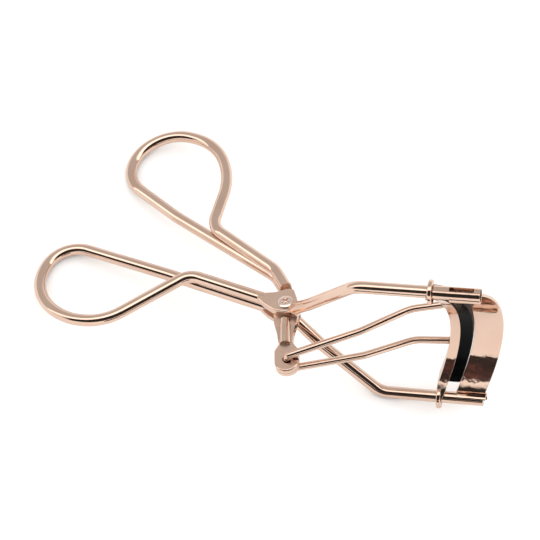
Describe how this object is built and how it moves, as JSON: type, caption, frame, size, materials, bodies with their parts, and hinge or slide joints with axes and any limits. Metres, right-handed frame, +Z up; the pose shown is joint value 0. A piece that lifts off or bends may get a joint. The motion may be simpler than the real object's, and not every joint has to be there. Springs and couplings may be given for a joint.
{
  "type": "eyelash curler",
  "caption": "Scissor-action eyelash curler with two finger loops, a link-driven padded jaw sliding on two posts, and a bowed fixed jaw.",
  "frame": {"origin": "bottom centre of the box round the whole curler, lying on its side on a table", "axes": "+Z up off the table, +X from the handles to the jaws, +Y from the frame's handle to the lever's handle; the scissor plane leans 13 degrees, because the curler rests on a bend of one arm and on both finger loops"},
  "size_m": [0.0986, 0.0612, 0.0419],
  "materials": {
    "wire": "mirror-polished rose-gold plating on steel wire",
    "rivet": "polished rose-gold plating, cupped head",
    "sheet": "polished rose-gold plating on pressed sheet",
    "pad": "soft black silicone, satin"
  },
  "bodies": {
    "frame": {"frame_wire": "wire", "fixed_jaw": "sheet", "pivot_rivet": "rivet"},
    "lever": {"lever_wire": "wire"},
    "slider": {"moving_jaw": "sheet", "pad": "pad"},
    "link": {"link_wire": "wire"}
  },
  "joints": [
    {"name": "handle_hinge", "type": "hinge", "parent": "frame", "child": "lever", "pos_m": [0.00536, -0.01484, 0.01401], "axis": [-0.2079, 0.0835, 0.9746], "range_deg": [-28, 0]},
    {"name": "jaw_slide", "type": "slide", "parent": "frame", "child": "slider", "axis": [0.9781, 0.0178, 0.2072], "range_m": [-0.0065, 0]},
    {"name": "link_swing", "type": "hinge", "parent": "lever", "child": "link", "pos_m": [0.008, -0.0277, 0.01568], "axis": [-0.2079, 0.0835, 0.9746], "range_deg": [0, 28.5]}
  ],
  "couplings": [
    {"joint": "jaw_slide", "follows": "handle_hinge", "m_per_rad": 0.0131},
    {"joint": "link_swing", "follows": "handle_hinge", "ratio": -1.002}
  ]
}
